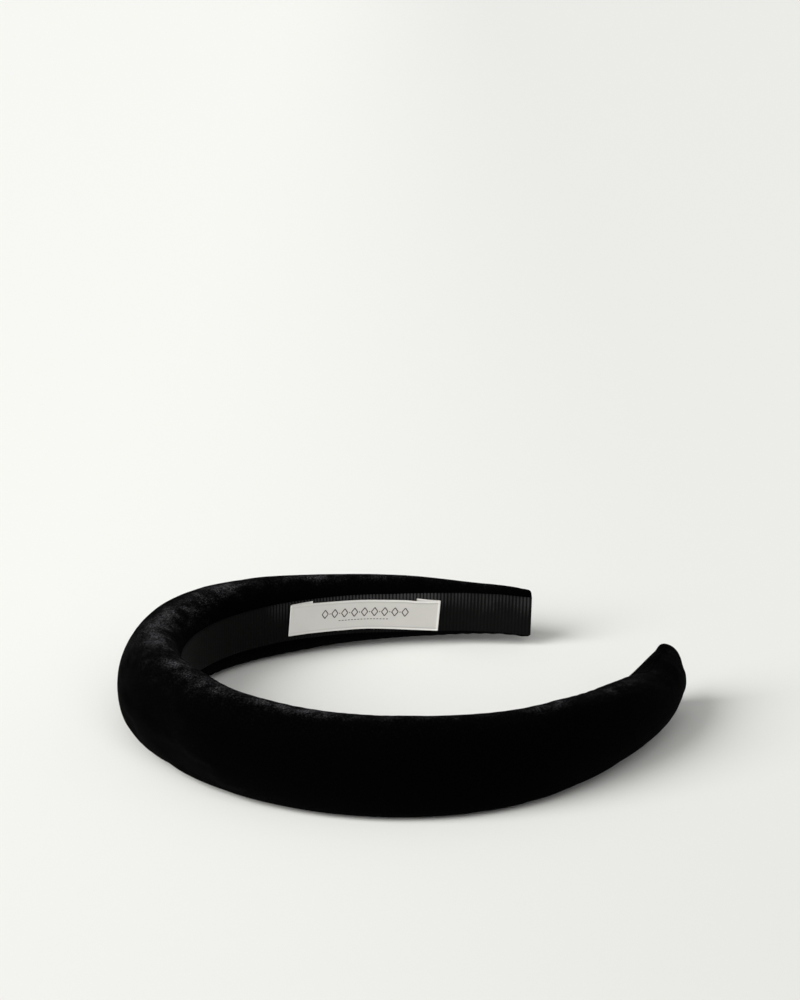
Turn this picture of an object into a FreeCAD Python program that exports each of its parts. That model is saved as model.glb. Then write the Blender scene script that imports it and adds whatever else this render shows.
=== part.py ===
import FreeCAD, Part
import math
import os

import Sketcher

# A padded headband lying on its side, built in a flat "band plane":
#   x runs from the crown (x = 0) towards the two tips, y runs across the head,
#   z runs across the width of the band.
# One spine, a chain of tangent arcs, is the visible face of the lining ribbon.
# q is the distance outwards from that face, away from the head.
# From the head outwards: label, lining ribbon, turned-in velvet, core band, foam, velvet.

os.makedirs("parts", exist_ok=True)
doc = FreeCAD.newDocument("Headband")

# ------------------------------------------------------------------ sizes, millimetres and degrees
sheet = doc.addObject("Spreadsheet::Sheet", "Sizes")
SIZES = [
    # the spine of one arm: four tangent arcs and a straight run to the tip
    ("ArcRadiusCrown", 63.56), ("ArcAngleCrown", 48.02),
    ("ArcRadiusSide", 57.53), ("ArcAngleSide", 42.96),
    ("ArcRadiusEar", 100.76), ("ArcAngleEar", 21.65),
    ("ArcRadiusTip", 118.0), ("ArcAngleTip", 11.45),
    ("TipRun", 21.05),
    # lining ribbon
    ("RibbonWidth", 12.7), ("RibbonThick", 0.42),
    # velvet cover
    ("VelvetThick", 0.9), ("VelvetFace", 0.5), ("VelvetFlatHalf", 6.2), ("SeamGap", 1.2),
    # outside width of the padded band at nine places from crown to tip
    ("WidthCrown", 29.8), ("WidthBrow", 28.65), ("WidthSide", 28.25), ("WidthMid", 26.5), ("WidthEar", 21.85),
    ("WidthBehind", 19.05), ("WidthLow", 16.3), ("WidthNeck", 15.55), ("WidthEnd", 16.7),
    # thickness from the ribbon's face to the outside at the same places
    ("DepthCrown", 16.6), ("DepthBrow", 18.8), ("DepthSide", 18.35), ("DepthMid", 17.0), ("DepthEar", 15.9),
    ("DepthBehind", 15.0), ("DepthLow", 13.4), ("DepthNeck", 10.95), ("DepthEnd", 7.65),
    # where those places are, as parts of the arm's length
    ("PlaceBrow", 0.12), ("PlaceSide", 0.25), ("PlaceMid", 0.5), ("PlaceEar", 0.7),
    ("PlaceBehind", 0.82), ("PlaceLow", 0.9), ("PlaceNeck", 0.96),
    # form of the section: how far out it is widest, and how full its shoulders are
    ("WaistCrown", 0.35), ("WaistMid", 0.495), ("WaistTip", 0.31), ("ShoulderPart", 0.835),
    # rounding of the end
    ("EndRound", 2.4), ("EndDropWidth", 0.7), ("EndDropDepth", 1.4),
    # core band
    ("CoreWidth", 10.4), ("CoreThick", 1.5), ("CoreFace", 1.45), ("CoreShort", 2.6),
    # foam
    ("FoamFace", 3.0), ("FoamGap", 0.1), ("FoamShort", 1.5),
    # woven label
    ("LabelThick", 0.32), ("LabelLift", 0.04), ("LabelFrom", 63.9), ("LabelTo", 111.2),
    ("LabelTopFrom", 5.6), ("LabelTopTo", 4.0), ("LabelLowFrom", -4.4), ("LabelLowTo", -6.0),
    # how the band lies: tipped so that the crown and both arms touch, then moved onto its origin
    ("LieTilt", 1.593), ("LieShift", 61.356), ("LieLift", 14.724),
]
for row, (alias, value) in enumerate(SIZES, start=1):
    sheet.set("A%d" % row, alias)
    sheet.set("B%d" % row, str(value))
    sheet.setAlias("B%d" % row, alias)
doc.recompute()


def size(alias):
    return float(sheet.get(alias))


# ------------------------------------------------------------------ the spine
ARCS = [("ArcRadiusCrown", "ArcAngleCrown"), ("ArcRadiusSide", "ArcAngleSide"),
        ("ArcRadiusEar", "ArcAngleEar"), ("ArcRadiusTip", "ArcAngleTip")]
ARM = sum(size(r) * math.radians(size(a)) for r, a in ARCS) + size("TipRun")


def spine(dist):
    """Point, and direction angle, at a distance along one arm from the crown."""
    x = y = turn = 0.0
    left = dist
    for r_name, a_name in ARCS:
        r = size(r_name)
        full = r * math.radians(size(a_name))
        step = min(left, full)
        end = turn + step / r
        x += r * (math.cos(turn) - math.cos(end))
        y += r * (math.sin(end) - math.sin(turn))
        turn = end
        left -= step
        if left <= 1e-9:
            return x, y, turn
    return x + left * math.sin(turn), y + left * math.cos(turn), turn


def place(dist, q, z):
    """A point at dist along the arm (negative: the other arm), q outwards, z across."""
    x, y, turn = spine(abs(dist))
    px = x - q * math.cos(turn)
    py = y + q * math.sin(turn)
    return FreeCAD.Vector(px, py if dist >= 0 else -py, z)


# ------------------------------------------------------------------ strips that follow the spine
def strip_sketch(body, name, q_in, q_out, run):
    """Half profile of a strip, crown to tip, on the body's own XY plane.
    q_in, q_out and run are (value, expression) pairs."""
    sk = body.newObject("Sketcher::SketchObject", name)
    plane = [f for f in body.Origin.OriginFeatures if f.Role == "XY_Plane"][0]
    sk.AttachmentSupport = [(plane, "")]
    sk.MapMode = "FlatFace"
    chains = []
    for q, _ in (q_in, q_out):
        ids = []
        turn, cx, cy = 0.0, size("ArcRadiusCrown"), 0.0
        prev_r = None
        for r_name, a_name in ARCS:
            r = size(r_name)
            if prev_r is not None:
                cx += (r - prev_r) * math.cos(turn)
                cy -= (r - prev_r) * math.sin(turn)
            end = turn + math.radians(size(a_name))
            circle = Part.Circle(FreeCAD.Vector(cx, cy, 0), FreeCAD.Vector(0, 0, 1), r + q)
            # the arc runs clockwise from the crown, so it is stored from its far end
            ids.append(sk.addGeometry(Part.ArcOfCircle(circle, math.pi - end, math.pi - turn), False))
            turn, prev_r = end, r
        p = FreeCAD.Vector(cx - (prev_r + q) * math.cos(turn), cy + (prev_r + q) * math.sin(turn), 0)
        e = p + FreeCAD.Vector(math.sin(turn), math.cos(turn), 0) * run[0]
        ids.append(sk.addGeometry(Part.LineSegment(p, e), False))
        chains.append(ids)
    inner, outer = chains
    C = Sketcher.Constraint
    geo = sk.Geometry
    crown = sk.addGeometry(Part.LineSegment(geo[inner[0]].EndPoint, geo[outer[0]].EndPoint), False)
    tip = sk.addGeometry(Part.LineSegment(geo[inner[4]].EndPoint, geo[outer[4]].EndPoint), False)
    for ids in chains:
        for k in range(3):
            sk.addConstraint(C("Tangent", ids[k], 1, ids[k + 1], 2))
        sk.addConstraint(C("Tangent", ids[3], 1, ids[4], 1))
    sk.addConstraint(C("Coincident", crown, 1, inner[0], 2))
    sk.addConstraint(C("Coincident", crown, 2, outer[0], 2))
    sk.addConstraint(C("Coincident", tip, 1, inner[4], 2))
    sk.addConstraint(C("Coincident", tip, 2, outer[4], 2))
    sk.addConstraint(C("PointOnObject", crown, 1, -1))
    sk.addConstraint(C("PointOnObject", crown, 2, -1))
    sk.addConstraint(C("PointOnObject", inner[0], 3, -1))
    sk.addConstraint(C("Coincident", outer[0], 3, inner[0], 3))
    sk.addConstraint(C("Perpendicular", tip, inner[4]))

    def bound(con, expression):
        k = sk.addConstraint(con)
        sk.setExpression("Constraints[%d]" % k, expression)

    bound(C("DistanceX", crown, 1, -1, 1, q_in[0]) if q_in[0] > 0 else C("DistanceX", -1, 1, crown, 1, -q_in[0]),
          q_in[1] if q_in[0] > 0 else "-(%s)" % q_in[1])
    for k, (r_name, a_name) in enumerate(ARCS):
        bound(C("Radius", inner[k], size(r_name) + q_in[0]), "Sizes.%s + %s" % (r_name, q_in[1]))
        bound(C("Angle", inner[k], math.radians(size(a_name))), "Sizes.%s * 1 deg" % a_name)
    bound(C("Radius", outer[0], size("ArcRadiusCrown") + q_out[0]), "Sizes.ArcRadiusCrown + %s" % q_out[1])
    for k in range(1, 4):
        sk.addConstraint(C("Coincident", outer[k], 3, inner[k], 3))
    sk.addConstraint(C("Parallel", outer[4], inner[4]))
    bound(C("Distance", inner[4], run[0]), run[1])
    doc.recompute()
    return sk


def pad_of(body, sk, name, width, expression):
    pad = body.newObject("PartDesign::Pad", name)
    pad.Profile = sk
    pad.Midplane = True
    pad.Length = width
    pad.setExpression("Length", expression)
    doc.recompute()
    return pad


def mirrored(body, feature, name):
    plane = [f for f in body.Origin.OriginFeatures if f.Role == "XZ_Plane"][0]
    m = body.newObject("PartDesign::Mirrored", name)
    m.Originals = [feature]
    m.MirrorPlane = (plane, [""])
    body.Tip = m
    doc.recompute()
    return m


def strip_body(label, q_in, q_out, run, width):
    body = doc.addObject("PartDesign::Body", label)
    body.Label = label
    sk = strip_sketch(body, label + "_profile", q_in, q_out, run)
    pad = pad_of(body, sk, label + "_pad", width[0], width[1])
    mirrored(body, pad, label + "_both_arms")
    return body


# the springy core: one flat strip, both arms
core = strip_body(
    "core_band",
    (size("CoreFace"), "Sizes.CoreFace"),
    (size("CoreFace") + size("CoreThick"), "Sizes.CoreFace + Sizes.CoreThick"),
    (size("TipRun") - size("CoreShort"), "Sizes.TipRun - Sizes.CoreShort"),
    (size("CoreWidth"), "Sizes.CoreWidth"))

# the lining ribbon, tip to tip on the head side
ribbon = strip_body(
    "lining_ribbon",
    (0.0, "0"),
    (size("RibbonThick"), "Sizes.RibbonThick"),
    (size("TipRun"), "Sizes.TipRun"),
    (size("RibbonWidth"), "Sizes.RibbonWidth"))

# the label: the same strip one layer nearer the head, then cut to its slightly skewed outline
label = doc.addObject("PartDesign::Body", "woven_label")
label.Label = "woven_label"
lab_sk = strip_sketch(
    label, "woven_label_profile",
    (-size("LabelLift") - size("LabelThick"), "(-Sizes.LabelLift - Sizes.LabelThick)"),
    (-size("LabelLift"), "(-Sizes.LabelLift)"),
    (size("TipRun"), "Sizes.TipRun"))
lab_pad = pad_of(label, lab_sk, "woven_label_pad", size("RibbonWidth") + 2, "Sizes.RibbonWidth + 2")
frame_plane = [f for f in label.Origin.OriginFeatures if f.Role == "XZ_Plane"][0]
cut_sk = label.newObject("Sketcher::SketchObject", "woven_label_outline")
cut_sk.AttachmentSupport = [(frame_plane, "")]
cut_sk.MapMode = "FlatFace"
V = FreeCAD.Vector
C = Sketcher.Constraint
quad = [(("LabelFrom"), ("LabelLowFrom")), (("LabelTo"), ("LabelLowTo")),
        (("LabelTo"), ("LabelTopTo")), (("LabelFrom"), ("LabelTopFrom"))]
quad_pts = [V(size(a), size(b), 0) for a, b in quad]
big_pts = [V(-60, -40, 0), V(220, -40, 0), V(220, 40, 0), V(-60, 40, 0)]
for pts, fixed in ((quad_pts, False), (big_pts, True)):
    ids = [cut_sk.addGeometry(Part.LineSegment(pts[k], pts[(k + 1) % 4]), False) for k in range(4)]
    for k in range(4):
        cut_sk.addConstraint(C("Coincident", ids[k], 2, ids[(k + 1) % 4], 1))
    for k in range(4):
        kx = cut_sk.addConstraint(C("DistanceX", -1, 1, ids[k], 1, pts[k].x))
        ky = cut_sk.addConstraint(C("DistanceY", -1, 1, ids[k], 1, pts[k].y))
        if not fixed:
            cut_sk.setExpression("Constraints[%d]" % kx, "Sizes.%s" % quad[k][0])
            cut_sk.setExpression("Constraints[%d]" % ky, "Sizes.%s" % quad[k][1])
doc.recompute()
trim = label.newObject("PartDesign::Pocket", "woven_label_trim")
trim.Profile = cut_sk
trim.Type = "ThroughAll"
trim.Midplane = True
label.Tip = trim
doc.recompute()


# ------------------------------------------------------------------ the padded section
def smooth(places, values):
    """Smooth curve through values at rising places, with no overshoot."""
    n = len(places)
    h = [places[i + 1] - places[i] for i in range(n - 1)]
    d = [(values[i + 1] - values[i]) / h[i] for i in range(n - 1)]
    m = [0.0] * n
    for i in range(1, n - 1):
        if d[i - 1] * d[i] > 0:
            w1, w2 = 2 * h[i] + h[i - 1], h[i] + 2 * h[i - 1]
            m[i] = (w1 + w2) / (w1 / d[i - 1] + w2 / d[i])
    m[-1] = d[-1]

    def at(x):
        x = min(max(x, places[0]), places[-1])
        i = 0
        while i < n - 2 and x > places[i + 1]:
            i += 1
        u = (x - places[i]) / h[i]
        return (values[i] * (1 + 2 * u) * (1 - u) ** 2 + m[i] * h[i] * u * (1 - u) ** 2
                + values[i + 1] * u * u * (3 - 2 * u) + m[i + 1] * h[i] * u * u * (u - 1))
    return at


NAMES = ["Crown", "Brow", "Side", "Mid", "Ear", "Behind", "Low", "Neck", "End"]
PLACES = [0.0] + [size("Place" + n) for n in NAMES[1:-1]] + [1.0]
half_width_at = smooth(PLACES, [size("Width" + n) / 2 for n in NAMES])
depth_at = smooth(PLACES, [size("Depth" + n) for n in NAMES])
waist_at = smooth([0.0, size("PlaceMid"), 1.0], [size("WaistCrown"), size("WaistMid"), size("WaistTip")])


def section(dist, inset, flat_q):
    """Half outline (q, z) of the padded section, inset evenly from the velvet's outside,
    starting on the flat face at flat_q: flank arc, shoulder arc, crown arc, all tangent."""
    s = abs(dist)
    H, T = half_width_at(s / ARM), depth_at(s / ARM)
    e = min(max((s - (ARM - size("EndRound"))) / size("EndRound"), 0.0), 1.0)
    drop = 1 - math.sqrt(max(0.0, 1 - e * e))
    H -= size("EndDropWidth") * drop
    T -= size("EndDropDepth") * drop
    q0, r = size("VelvetFace"), size("VelvetFlatHalf")
    H = max(H, r + 0.15)
    qc = q0 + waist_at(s / ARM) * (T - q0)
    ra = ((qc - q0) ** 2 + (H - r) ** 2) / (2 * (H - r))
    aq = T - qc
    rs = min(size("ShoulderPart") * aq, 0.97 * min(aq, H))
    rc = (aq * aq + (H - rs) ** 2 - rs * rs) / (2 * (aq - rs))
    turn = math.atan2(H - rs, qc - (T - rc))
    # the same arcs, each radius shorter by the inset; in the thin end the flat face can lie
    # beyond the widest place, and then the outline starts on the shoulder arc
    ra_i, rs_i, rc_i = ra - inset, rs - inset, rc - inset
    if flat_q < qc:
        arcs = [(qc, H - ra, ra_i, math.acos(max(-1.0, (flat_q - qc) / ra_i)), math.pi / 2),
                (qc, H - rs, rs_i, math.pi / 2, turn)]
    else:
        arcs = [(qc, H - rs, rs_i, math.acos((flat_q - qc) / rs_i), turn)]
    arcs.append((T - rc, 0.0, rc_i, turn, 0.0))
    lengths = [r_ * (t0 - t1) for _, _, r_, t0, t1 in arcs]
    count = 22
    pts = []
    for k in range(count + 1):
        left = sum(lengths) * k / count
        for (cq, cz, r_, t0, t1), full in zip(arcs, lengths):
            if left <= full + 1e-9 or (cq, cz, r_, t0, t1) == arcs[-1]:
                t = max(t0 - left / r_, t1)
                pts.append((cq + r_ * math.cos(t), cz + r_ * math.sin(t)))
                break
            left -= full
    return pts


def stations(end):
    """Distances of the sections, tip to tip: even along the arms, close together at the rounded ends."""
    near = [0.0, 0.5, 1.1, 1.8, 2.6, 4.0, 6.5, 10.0]
    n = 17
    half = [(end - near[-1]) * k / n for k in range(n + 1)] + [end - v for v in reversed(near[:-1])]
    return [-v for v in reversed(half[1:])] + half


def outline(dist, inset, flat_q):
    """The round part of one section, as points from one flat edge to the other."""
    half = section(dist, inset, flat_q)
    return [place(dist, q, z) for q, z in half + [(q, -z) for q, z in reversed(half[:-1])]]


def curve_through(pts):
    curve = Part.BSplineCurve()
    curve.interpolate(Points=pts, Parameters=[k / (len(pts) - 1.0) for k in range(len(pts))])
    return curve.toShape()


def padded_loft(inset, flat_q, short):
    """Solid through sections from tip to tip, flat on the head side."""
    wires = []
    for dist in stations(ARM - short):
        pts = outline(dist, inset, flat_q)
        wires.append(Part.Wire([curve_through(pts), Part.makeLine(pts[-1], pts[0])]))
    return Part.makeLoft(wires, True, False, False, 3)


def velvet_skin():
    """The cover: a C all along, open at the seam, and a closed cap of the same cloth at each tip."""
    t = size("VelvetThick")
    q0, q1, g = size("VelvetFace"), size("VelvetFace") + size("VelvetThick"), size("SeamGap") / 2
    inner_end = ARM - t

    def c_section(dist):
        out, inn = outline(dist, 0.0, q0), outline(dist, t, q1)
        corner = [place(dist, q0, -g), place(dist, q1, -g), place(dist, q1, g), place(dist, q0, g)]
        return ([curve_through(out), Part.makeLine(out[-1], corner[0]), Part.makeLine(corner[0], corner[1]),
                 Part.makeLine(corner[1], inn[-1])]
                + [curve_through(inn), Part.makeLine(inn[0], corner[2]), Part.makeLine(corner[2], corner[3]),
                   Part.makeLine(corner[3], out[0])])

    def full_section(dist):
        out = outline(dist, 0.0, q0)
        c0, c3 = place(dist, q0, -g), place(dist, q0, g)
        return [curve_through(out), Part.makeLine(out[-1], c0), Part.makeLine(c0, c3), Part.makeLine(c3, out[0])]

    faces = list(Part.makeLoft([Part.Wire(c_section(d)) for d in stations(inner_end)], False, False, False, 3).Faces)
    for arm in (1, -1):
        steps = [inner_end, inner_end + 0.3 * t, inner_end + 0.6 * t, inner_end + 0.85 * t, ARM]
        faces += Part.makeLoft([Part.Wire(full_section(arm * d)) for d in steps], False, False, False, 3).Faces
        faces.append(Part.Face(Part.Wire(full_section(arm * ARM))))
        inn = outline(arm * inner_end, t, q1)
        loop = [place(arm * inner_end, q, z) for q, z in ((q1, -g), (q0, -g), (q0, g), (q1, g))]
        faces.append(Part.Face(Part.Wire([curve_through(inn), Part.makeLine(inn[-1], loop[0])]
                                         + [Part.makeLine(loop[k], loop[k + 1]) for k in range(3)]
                                         + [Part.makeLine(loop[3], inn[0])])))
    skin = Part.Compound(faces)
    skin.sewShape(0.001)
    shells = skin.Shells
    if len(shells) != 1 or not shells[0].isClosed():
        raise RuntimeError("the velvet cover's faces do not close: %d shells" % len(shells))
    solid = Part.Solid(shells[0])
    if solid.Volume < 0:
        solid.reverse()
    return solid


# velvet cover: one skin all round, turned in on the head side where its edges leave a narrow seam
cover = doc.addObject("Part::Feature", "velvet_cover")
cover.Label = "velvet_cover"
cover.Shape = velvet_skin()

# foam: fills the cover outside the core
foam = doc.addObject("Part::Feature", "foam_pad")
foam.Label = "foam_pad"
foam.Shape = padded_loft(size("VelvetThick") + size("FoamGap"), size("FoamFace"), size("FoamShort")).Solids[0]
doc.recompute()

# ------------------------------------------------------------------ the band lies on its side
NODES = [core, foam, cover, ribbon, label]
tilt = FreeCAD.Rotation(V(0, 1, 0), size("LieTilt"))
for obj in NODES:
    obj.Placement = FreeCAD.Placement(V(-size("LieShift"), 0, size("LieLift")), tilt)
doc.recompute()

# ------------------------------------------------------------------ checks, then one file per piece
bad = []
for obj in doc.Objects:
    if any(s in ("Invalid", "Error") for s in obj.State):
        bad.append("%s is %s" % (obj.Name, obj.State))
    if obj.TypeId == "Sketcher::SketchObject" and obj.solve() != 0:
        bad.append("%s does not solve" % obj.Name)
for obj in NODES:
    sh = obj.Shape
    if sh.isNull() or not sh.isValid() or len(sh.Solids) != 1 or sh.Volume <= 0:
        bad.append("%s has a bad shape: null %s valid %s solids %d" % (obj.Label, sh.isNull(), sh.isValid(), len(sh.Solids)))
if bad:
    raise RuntimeError("; ".join(bad))
for obj in NODES:
    sh = obj.Shape
    b = sh.BoundBox
    print("%-14s volume %9.1f mm3  x %.2f..%.2f  y %.2f..%.2f  z %.2f..%.2f  faces %d"
          % (obj.Label, sh.Volume, b.XMin, b.XMax, b.YMin, b.YMax, b.ZMin, b.ZMax, len(sh.Faces)))
    sh.exportStep("parts/%s.step" % obj.Label)
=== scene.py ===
import math

import bpy
import numpy as np
from mathutils import Matrix, Vector


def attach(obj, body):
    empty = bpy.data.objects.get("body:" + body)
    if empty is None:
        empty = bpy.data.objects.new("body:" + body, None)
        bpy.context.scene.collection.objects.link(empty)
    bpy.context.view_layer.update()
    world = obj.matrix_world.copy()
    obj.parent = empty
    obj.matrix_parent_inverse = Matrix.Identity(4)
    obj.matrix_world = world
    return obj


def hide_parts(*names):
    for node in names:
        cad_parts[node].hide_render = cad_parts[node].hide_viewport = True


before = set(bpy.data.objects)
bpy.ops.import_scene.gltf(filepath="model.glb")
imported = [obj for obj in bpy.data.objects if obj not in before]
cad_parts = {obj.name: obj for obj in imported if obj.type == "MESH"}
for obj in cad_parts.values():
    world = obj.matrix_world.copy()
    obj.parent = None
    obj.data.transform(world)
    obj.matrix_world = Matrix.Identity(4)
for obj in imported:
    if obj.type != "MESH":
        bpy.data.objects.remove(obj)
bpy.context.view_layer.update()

# =====================================================================================
# The band's numbers, in millimetres and degrees. x runs crown to tips, y across the head,
# z across the band's width; q is the distance outwards from the lining's visible face.
# =====================================================================================
ARCS = [(63.56, 48.02), (57.53, 42.96), (100.76, 21.65), (118.0, 11.45)]
TIP_RUN = 21.05
ARM = sum(r * math.radians(a) for r, a in ARCS) + TIP_RUN
PLACES = [0.0, 0.12, 0.25, 0.5, 0.7, 0.82, 0.9, 0.96, 1.0]
WIDTHS = [29.8, 28.65, 28.25, 26.5, 21.85, 19.05, 16.3, 15.55, 16.7]
DEPTHS = [16.6, 18.8, 18.35, 17.0, 15.9, 15.0, 13.4, 10.95, 7.65]
# the two ends are sewn by hand and differ a little: width and depth at the last three places
FAR_END = [(16.63, 13.17), (15.68, 10.07), (15.38, 6.24)]
NEAR_END = [(15.98, 13.64), (15.43, 11.81), (18.05, 9.06)]
SHOULDER = 0.835
FACE, FLAT_HALF = 0.5, 6.2
END_ROUND, END_W, END_D = 2.4, 0.7, 1.4
TILT, SHIFT, LIFT = math.radians(1.593), 61.356, 14.724
RIBBON_HALF = 6.35


def spine(s):
    s = np.asarray(s, float)
    x, y, turn, left = np.zeros_like(s), np.zeros_like(s), np.zeros_like(s), s.copy()
    for r, a in ARCS:
        step = np.clip(left, 0, r * math.radians(a))
        end = turn + step / r
        x = x + r * (np.cos(turn) - np.cos(end))
        y = y + r * (np.sin(end) - np.sin(turn))
        turn, left = end, left - step
    return x + left * np.sin(turn), y + left * np.cos(turn), turn


def place(dist, q, z):
    """Row-frame points, in metres, at dist along the arms (negative: the -Y arm)."""
    dist, q, z = np.broadcast_arrays(np.asarray(dist, float), np.asarray(q, float), np.asarray(z, float))
    x, y, turn = spine(np.abs(dist))
    px, py = x - q * np.cos(turn), y + q * np.sin(turn)
    py = np.where(dist >= 0, py, -py)
    # the far end's soft parts hang a little low
    u = np.clip((dist - (ARM - 11)) / 11, 0, 1)
    z = z - 0.6 * u * u * (3 - 2 * u)
    c, s = math.cos(TILT), math.sin(TILT)
    return np.stack([px * c + z * s - SHIFT, py, -px * s + z * c + LIFT], -1) / 1000


def smooth(places, values):
    """Smooth curve through values at rising places, with no overshoot."""
    n = len(places)
    h = [places[i + 1] - places[i] for i in range(n - 1)]
    d = [(values[i + 1] - values[i]) / h[i] for i in range(n - 1)]
    m = [0.0] * n
    for i in range(1, n - 1):
        if d[i - 1] * d[i] > 0:
            w1, w2 = 2 * h[i] + h[i - 1], h[i] + 2 * h[i - 1]
            m[i] = (w1 + w2) / (w1 / d[i - 1] + w2 / d[i])
    m[-1] = d[-1]

    def at(x):
        x = min(max(x, places[0]), places[-1])
        i = 0
        while i < n - 2 and x > places[i + 1]:
            i += 1
        u = (x - places[i]) / h[i]
        return (values[i] * (1 + 2 * u) * (1 - u) ** 2 + m[i] * h[i] * u * (1 - u) ** 2
                + values[i + 1] * u * u * (3 - 2 * u) + m[i + 1] * h[i] * u * u * (u - 1))
    return at


waist_at = smooth([0.0, 0.5, 1.0], [0.35, 0.495, 0.31])
half_width_at = {end: smooth(PLACES, [w / 2 for w in WIDTHS[:6] + [w for w, d in own]]) for end, own in ((1, FAR_END), (-1, NEAR_END))}
depth_at = {end: smooth(PLACES, DEPTHS[:6] + [d for w, d in own]) for end, own in ((1, FAR_END), (-1, NEAR_END))}


def section(s, inset=0.0, flat_q=FACE, seam=0.6):
    """Polyline (q, z) round the padded section, from one seam edge round the outside to the other."""
    end = -1 if s < 0 else 1
    s = abs(s)
    H, T = half_width_at[end](s / ARM), depth_at[end](s / ARM)
    e = min(max((s - (ARM - END_ROUND)) / END_ROUND, 0.0), 1.0)
    drop = 1 - math.sqrt(max(0.0, 1 - e * e))
    H, T = max(H - END_W * drop, FLAT_HALF + 0.15), T - END_D * drop
    qc = FACE + waist_at(s / ARM) * (T - FACE)
    ra = ((qc - FACE) ** 2 + (H - FLAT_HALF) ** 2) / (2 * (H - FLAT_HALF))
    aq = T - qc
    rs = min(SHOULDER * aq, 0.97 * min(aq, H))
    rc = (aq * aq + (H - rs) ** 2 - rs * rs) / (2 * (aq - rs))
    turn = math.atan2(H - rs, qc - (T - rc))
    a_i, s_i, c_i = ra - inset, rs - inset, rc - inset
    below = flat_q < qc
    start = math.acos(max(-1.0, min(1.0, (flat_q - qc) / (a_i if below else s_i))))
    t1 = np.linspace(start, math.pi / 2, 30, endpoint=False) if below else np.zeros(0)
    t2 = np.linspace(math.pi / 2 if below else start, turn, 26, endpoint=False)
    t3 = np.linspace(turn, 0, 30)
    half = np.concatenate([
        np.stack([qc + a_i * np.cos(t1), H - ra + a_i * np.sin(t1)], -1),
        np.stack([qc + s_i * np.cos(t2), H - rs + s_i * np.sin(t2)], -1),
        np.stack([T - rc + c_i * np.cos(t3), c_i * np.sin(t3)], -1)])
    if seam is not None:
        r = half[0, 1]
        flat = np.stack([np.full(8, flat_q), np.linspace(min(seam, r - 0.1), r, 8, endpoint=False)], -1)
        half = np.concatenate([flat, half])
    line = np.concatenate([half, half[::-1][1:] * [1, -1]])
    # hand-made unevenness: the upper edge rises and dips along the arms, the lower edge bulges beside the crown
    line[:, 1] += np.interp(end * s, EDGE_AT, EDGE_RISE) * step_up(line[:, 1], 0.0, 7.0)
    line[:, 0] += 0.75 * math.exp(-((end * s - 16) / 17.0) ** 2) * step_up(-line[:, 1], -5.0, 11.0) * step_up(line[:, 0], 2.0, 10.0)
    return line


EDGE_AT = [-178, -166, -160, -152, -142, -134, -129, -120, -107, -103, -95, -85, -75, -64, -58, -45, -36, -20, -12, -4, 18, 52, 62, 70, 78, 86, 110, 125, 140, 150, 165, 177]
EDGE_RISE = [0.25, 0.60, -0.20, -0.70, 0.50, 1.0, 1.15, 0.97, 0.90, 0.50, 0.20, 0.30, 0.47, 0.45, 0.10, -0.32, -0.45, -0.50, -0.68, -0.62, 0.0, 0.0, 0.3, 0.5, 0.5, 0.1, 0.1, 0.3, 0.28, 0.15, 0.25, 0.5]


def even(line, n, power=None):
    """n points spread evenly along a polyline."""
    step = np.linalg.norm(np.diff(line, axis=0), axis=1)
    along = np.concatenate([[0], np.cumsum(step)])
    at = np.linspace(0, along[-1], n)
    return np.stack([np.interp(at, along, line[:, k]) for k in range(line.shape[1])], -1)


# ------------------------------------------------------------------ repeatable noise
def _hash(ix, iy, iz, seed):
    h = (ix * 374761393 + iy * 668265263 + iz * 2147483647 + seed * 144665) & 0xFFFFFFFF
    h = ((h ^ (h >> 13)) * 1274126177) & 0xFFFFFFFF
    h = h ^ (h >> 16)
    return (h & 0xFFFF) / 65535.0


def noise(p, size, seed=0, stretch=(1, 1, 1)):
    """Smooth value noise from -1 to 1 at points p, with features about size across."""
    q = np.asarray(p, float) / (np.asarray(stretch, float) * size)
    i = np.floor(q).astype(np.int64)
    f = q - i
    u = f * f * f * (f * (f * 6 - 15) + 10)
    out = 0.0
    for dx in (0, 1):
        for dy in (0, 1):
            for dz in (0, 1):
                w = (u[..., 0] if dx else 1 - u[..., 0]) * (u[..., 1] if dy else 1 - u[..., 1]) * (u[..., 2] if dz else 1 - u[..., 2])
                out = out + w * _hash(i[..., 0] + dx, i[..., 1] + dy, i[..., 2] + dz, seed)
    return out * 2 - 1


def fractal(p, size, octaves, seed=0, gain=0.5):
    out, amp, total = 0.0, 1.0, 0.0
    for k in range(octaves):
        out = out + amp * noise(p, size / 2 ** k, seed + 17 * k)
        total += amp
        amp *= gain
    return out / total


def step_up(x, a, b):
    t = np.clip((x - a) / (b - a), 0, 1)
    return t * t * (3 - 2 * t)


# ------------------------------------------------------------------ mesh helpers
def mesh_object(name, verts, faces, smooth_shade=True):
    me = bpy.data.meshes.new(name)
    me.from_pydata([tuple(v) for v in np.asarray(verts)], [], faces)
    me.validate()
    me.update()
    me.polygons.foreach_set("use_smooth", [smooth_shade] * len(me.polygons))
    ob = bpy.data.objects.new(name, me)
    bpy.context.scene.collection.objects.link(ob)
    return ob


def grid_faces(ni, nj, base=0, flip=False, close_j=False):
    faces = []
    mj = nj if close_j else nj - 1
    for i in range(ni - 1):
        for j in range(mj):
            a, b = base + i * nj + j, base + i * nj + (j + 1) % nj
            c, d = base + (i + 1) * nj + (j + 1) % nj, base + (i + 1) * nj + j
            faces.append((a, d, c, b) if flip else (a, b, c, d))
    return faces


def grid_normals(P):
    du, dv = np.gradient(P, axis=0), np.gradient(P, axis=1)
    n = np.cross(du, dv)
    return n / np.maximum(np.linalg.norm(n, axis=-1, keepdims=True), 1e-12)


# =====================================================================================
# Materials
# =====================================================================================
def material(name):
    m = bpy.data.materials.new(name)
    m.use_nodes = True
    nt = m.node_tree
    return m, nt, nt.nodes["Principled BSDF"]


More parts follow.
